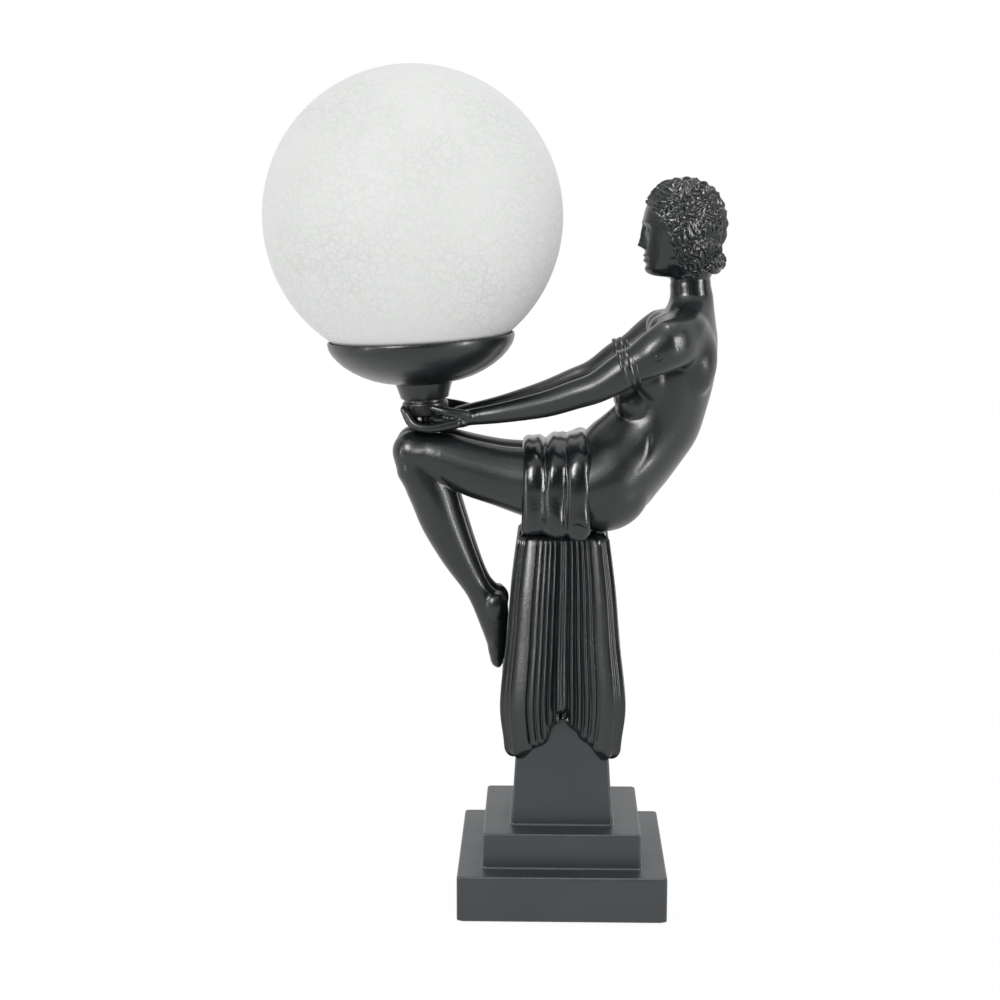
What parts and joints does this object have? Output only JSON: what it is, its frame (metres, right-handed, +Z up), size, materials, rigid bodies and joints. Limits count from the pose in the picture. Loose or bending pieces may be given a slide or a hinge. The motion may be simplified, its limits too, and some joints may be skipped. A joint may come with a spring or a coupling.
{
  "type": "table lamp",
  "caption": "Figural table lamp: a seated figure on a draped column and stepped base holds a bowl with a round crackle glass globe.",
  "frame": {"origin": "centre of the base's underside", "axes": "+Z up; the figure faces -X, with its left side towards -Y and the cord inlet in the +Y side"},
  "size_m": [0.2766, 0.179, 0.5077],
  "materials": {
    "figure_black": "satin gloss paint over a casting",
    "base_black": "satin paint, a little duller than the figure",
    "globe_glass": "white crackle glass",
    "bulb_glass": "frosted",
    "brass": "satin",
    "steel": "plain",
    "aluminium": "pressed",
    "black_plastic": "matt moulding",
    "white_insert": "glazed insert",
    "lead_sheath": "round flexible sheath",
    "felt": "wool felt"
  },
  "bodies": {
    "lamp": {"stepped_base": "base_black", "base_felt": "felt", "cord_bush": "black_plastic", "terminal_block": "black_plastic", "terminal_screws": "steel", "tie_tube": "steel", "tie_washer": "steel", "tie_nut": "steel", "draped_column": "figure_black", "seat_bush": "steel", "torso": "figure_black", "head": "figure_black", "left_arm": "figure_black", "right_arm": "figure_black", "left_armlet": "figure_black", "right_armlet": "figure_black", "left_leg": "figure_black", "right_leg": "figure_black", "hip_sash": "figure_black", "leg_dowels": "steel", "neck_dowel": "steel", "arm_pins": "figure_black", "knee_bush": "steel", "collar": "figure_black", "holder_pipe": "steel", "holder_bowl": "figure_black", "bowl_nut": "steel", "lampholder_cap": "black_plastic", "lampholder_body": "black_plastic", "lampholder_insert": "white_insert", "lampholder_screws": "steel", "screw_shell": "brass", "centre_contact": "brass", "inner_lead": "lead_sheath"},
    "globe": {"glass_globe": "globe_glass"},
    "bulb": {"bulb_tip": "brass", "bulb_cap": "aluminium", "bulb_glass": "bulb_glass"}
  },
  "joints": [
    {"name": "globe_lift", "type": "slide", "parent": "lamp", "child": "globe", "axis": [-0.0584, 0, 0.9983], "range_m": [0, 0.115]},
    {"name": "bulb_lift", "type": "slide", "parent": "lamp", "child": "bulb", "axis": [-0.0584, 0, 0.9983], "range_m": [0, 0.03]}
  ]
}
